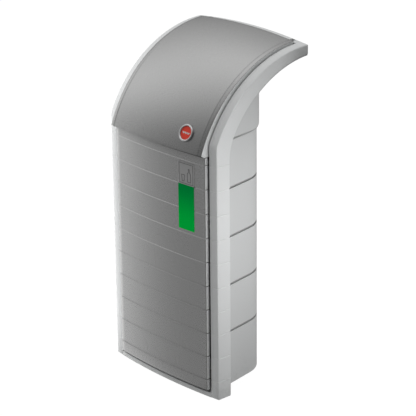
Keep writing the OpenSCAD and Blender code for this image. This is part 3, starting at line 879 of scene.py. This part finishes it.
# %% Metals
def zinc_plate():
    finish = Finish("bright_steel", metallic=1.0, roughness=0.3)
    streak = finish.noise(40, 4, vector=finish.stretched(1.0, 1.0, 14.0))
    finish.feed(base_color=finish.blend(streak, grey(0.50, (1.0, 1.0, 1.03)), grey(0.66, (1.0, 1.0, 1.01))))
    finish.feed(roughness=0.24 + streak * 0.18)
    return finish.bump(streak, 0.00008, 0.3)


def galvanised():
    finish = Finish("galvanised_sheet", metallic=1.0, roughness=0.4)
    cells = finish.node("ShaderNodeTexVoronoi", sockets={
        "Vector": finish.place, "Scale": 70.0, "Randomness": 1.0}, out="Color")
    spangle = finish.node("ShaderNodeSeparateColor", sockets={"Color": cells}, out="Red")
    tone = finish.blend(spangle, grey(0.40, (0.98, 1.0, 1.02)), grey(0.60, (0.99, 1.0, 1.01)))
    finish.feed(base_color=finish.blend(finish.noise(6, 4) * 0.3, tone, grey(0.42)))
    finish.feed(roughness=0.30 + spangle * 0.22)
    return finish.bump(finish.noise(300, 2), 0.00006, 0.3)


def chrome():
    finish = Finish("chrome_trim", metallic=1.0, roughness=0.2)
    haze = finish.noise(180, 3)
    finish.feed(base_color=finish.blend(haze, grey(0.52), grey(0.60, (0.99, 1.0, 1.01))))
    finish.feed(roughness=0.16 + haze * 0.08)
    return finish.bump(finish.noise(260, 2), 0.00002, 0.2)


FINISHES.update(bright_steel=zinc_plate(), galvanised_sheet=galvanised(), chrome_trim=chrome())
print("finishes so far:", sorted(FINISHES))

# %% [markdown]
# ## Films, print and enamel
# The strip is a printed green film, painted darker toward the top: a painted reflection that
# stands in for the film's darker reflection up there. The badge and the label are enamelled or
# printed, smooth with a thin clear coat. Their colours are kept nearly even: a blend between
# two close shades is enough to keep them from looking like flat paint.

# %% Films, print and enamel
def enamel(name, colour, deep, roughness):
    finish = Finish(name, roughness=roughness, specular_ior_level=0.35, coat_weight=0.15, coat_roughness=0.1)
    cloud = finish.noise(90, 3)
    finish.feed(base_color=finish.blend(cloud, colour, deep))
    finish.feed(roughness=roughness - 0.04 + finish.noise(300, 3) * 0.08)
    return finish.bump(finish.noise(520, 2), 0.00003, 0.25)


def green_film():
    finish = Finish("green_film", roughness=0.5, specular_ior_level=0.0)
    # The green is darker toward the top: a painted reflection, not the film's own colour.
    painted_shade_to_top = finish.span(finish.along("Z"), 0.66, 0.84)
    tone = finish.blend(painted_shade_to_top, (0.0, 0.80, 0.090, 1.0), (0.0, 0.34, 0.066, 1.0))
    finish.feed(base_color=finish.blend(finish.noise(700, 2) * 0.15, tone, (0.0, 0.30, 0.045, 1.0)))
    finish.feed(roughness=0.40 + finish.noise(120, 3) * 0.1)
    return finish.bump(finish.noise(900, 2), 0.00003, 0.3)


FINISHES.update(
    green_film=green_film(),
    red_enamel=enamel("red_enamel", (0.90, 0.060, 0.026, 1.0), (0.80, 0.045, 0.020, 1.0), 0.30),
    white_enamel=enamel("white_enamel", grey(0.82, (1.0, 0.99, 0.97)), grey(0.74, (1.0, 0.99, 0.97)), 0.28),
    label_sheet=enamel("label_sheet", grey(0.44), grey(0.40), 0.35),
    label_print=enamel("label_print", grey(0.05), grey(0.035), 0.45),
)
print("finishes:", sorted(FINISHES))

# %% [markdown]
# ## Dressing every part
# Each carried-over part takes the finish of the slot that the record gives it, and each new
# piece takes the finish of the slot it was given when it was settled.

# %% Give every part its finish
slot_of = {row["node"]: row["material_slot"] for row in frame["record"]["subparts"]}
for name, part in frame["nodes"].items():
    finish = FINISHES[slot_of[name]].material
    if not part.material_slots:
        part.data.materials.append(finish)
    for material_slot in part.material_slots:
        material_slot.material = finish
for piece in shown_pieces():
    if "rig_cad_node" not in piece:
        piece.data.materials.clear()
        piece.data.materials.append(FINISHES[piece["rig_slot"]].material)
flap.material_slots[0].material = FLAP_FINISH.material

# %% [markdown]
# ## Floor
# The bin stands on a plain white floor that runs into the background without a horizon. A
# white diffuse floor alone would turn grey away from the lamps, so it mostly glows by itself,
# with a little real white paint in the mix for the faint shadow at the foot. It stays out of
# reflections, since a glowing floor would light the door from below.

# %% Floor
bpy.ops.object.select_all(action="DESELECT")
bpy.ops.mesh.primitive_plane_add(size=40, location=(0, 0, -0.0005))
floor = bpy.context.object
floor.name = "floor"
floor.visible_glossy = floor.visible_diffuse = False
floor_finish = bpy.data.materials.new("floor")
floor_finish.use_nodes = True
floor_tree = floor_finish.node_tree
floor_tree.nodes.clear()
shade = make_node(floor_tree, "ShaderNodeBsdfDiffuse", sockets={"Color": grey(0.9)})
glow = make_node(floor_tree, "ShaderNodeEmission", sockets={"Color": grey(1.0), "Strength": 1.06})
mixed = make_node(floor_tree, "ShaderNodeMixShader", sockets={"Fac": 0.93, 1: shade, 2: glow})
floor_tree.links.new(mixed.socket, floor_tree.nodes.new("ShaderNodeOutputMaterial").inputs["Surface"])
floor.data.materials.append(floor_finish)
print("floor laid, size in metres:", floor.dimensions[:2])

# %% [markdown]
# ## Room
# The light comes from all round, but not evenly: it is strong from above and from the left,
# and weak low down in front, which is what lets the crowned door shade from light to dark. One
# way is a ring of lamps; a room whose brightness depends on direction is smoother and has no
# hot spots. Each lobe has a direction, a sharpness and a strength. The camera sees plain white.

# %% Room
AMBIENT = 0.19
world = bpy.data.worlds.new("room")
bpy.context.scene.world = world
world.use_nodes = True
room = world.node_tree
room.nodes.clear()
view_dir = make_node(room, "ShaderNodeTexCoord", out="Generated")
LAMPS = (
    ((-0.91, -0.16, -0.38), 14.0, 1.65),
    ((-0.32, -0.87, -0.38), 14.0, 0.40),
    ((-0.96, -0.26, 0.09), 14.0, 0.70),
    ((-0.81, -0.30, 0.50), 14.0, 1.00),
    ((-0.63, 0.11, 0.77), 14.0, 0.70),
    ((-0.71, 0.50, 0.50), 14.0, 0.40),
    ((0.00, 0.00, 1.00), 5.0, 1.25),
    ((0.10, 0.98, 0.15), 5.0, 0.45),
)
light = AMBIENT
for direction, power, strength in LAMPS:
    towards = make_node(room, "ShaderNodeVectorMath", {"operation": "DOT_PRODUCT"},
                        {0: view_dir, 1: Vector(direction).normalized()}, out="Value")
    facing = make_node(room, "ShaderNodeMath", {"operation": "MAXIMUM"}, {0: towards, 1: 0.0})
    light = light + (facing ** power) * strength
seen = make_node(room, "ShaderNodeLightPath", out="Is Camera Ray")
strength = light * (1 - seen) + seen
background = make_node(room, "ShaderNodeBackground", sockets={"Color": grey(1.0), "Strength": strength})
room.links.new(background.socket, room.nodes.new("ShaderNodeOutputWorld").inputs["Surface"])
bpy.context.scene.view_settings.view_transform = "Standard"
print("lobes in the room:", len(LAMPS))

# %% [markdown]
# ## Softboxes
# Two softboxes fill the right-hand side, which the room leaves dim, and a tall narrow one
# brightens the left stile. Stronger lobes in the room would do it too, but they would show in
# the lacquer. These three stay out of reflections, so door and flap keep their soft gradient.

# %% Softboxes: place, target, width and height, watts, spread in degrees
BOXES = (
    ((1.5, 0.25, 0.70), (0.30, 0.10, 0.60), (0.7, 0.7), 1.80, 80),
    ((1.5, -0.05, 0.95), (0.30, 0.05, 0.95), (0.7, 0.7), 0.70, 80),
    ((-0.75, -0.45, 0.72), (-0.288, 0.0, 0.72), (0.12, 1.5), 0.72, 40),
)


def softbox(name, place, target, size, watts, spread):
    lamp = bpy.data.lights.new(name, "AREA")
    lamp.shape, lamp.energy = "RECTANGLE", watts
    lamp.size, lamp.size_y = size
    lamp.spread = math.radians(spread)
    box = bpy.data.objects.new(name, lamp)
    bpy.context.scene.collection.objects.link(box)
    box.matrix_world = Matrix.Translation(place) @ (
        Vector(place) - Vector(target)).to_track_quat("Z", "Y").to_matrix().to_4x4()
    box.visible_camera = box.visible_glossy = False


for number, box in enumerate(BOXES):
    softbox("softbox_%d" % number, *box)
print("softboxes:", len(BOXES))

# %% [markdown]
# ## Flag beside the arm
# Toward its rear end the right arm falls into shade, while the body below it stays bright. In
# a studio a flag does that: a small card on a stand, between the side light and the tip of
# the arm. This one glows faintly, as bright as the room, so it takes away only the side light. The
# side light could be aimed lower instead, but then the upper shell would grow dark with the tip.

# %% Flag
FLAG_PLACE, FLAG_DEPTH, FLAG_HEIGHT, FLAG_GLOW = (0.50, 0.51, 1.32), 0.30, 0.36, 0.18

bpy.ops.mesh.primitive_plane_add(size=1, location=FLAG_PLACE, rotation=(0, math.pi / 2, 0))
flag = bpy.context.object
flag.name = "flag"
flag.scale = (FLAG_HEIGHT, FLAG_DEPTH, 1)
flag.visible_camera = flag.visible_glossy = False
flag_finish = bpy.data.materials.new("flag")
flag_finish.use_nodes = True
flag_tree = flag_finish.node_tree
flag_tree.nodes.clear()
card = make_node(flag_tree, "ShaderNodeEmission", sockets={"Color": grey(1.0), "Strength": FLAG_GLOW})
flag_tree.links.new(card.socket, flag_tree.nodes.new("ShaderNodeOutputMaterial").inputs["Surface"])
flag.data.materials.append(flag_finish)
print("flag between the side light and the arm's end:", FLAG_PLACE)
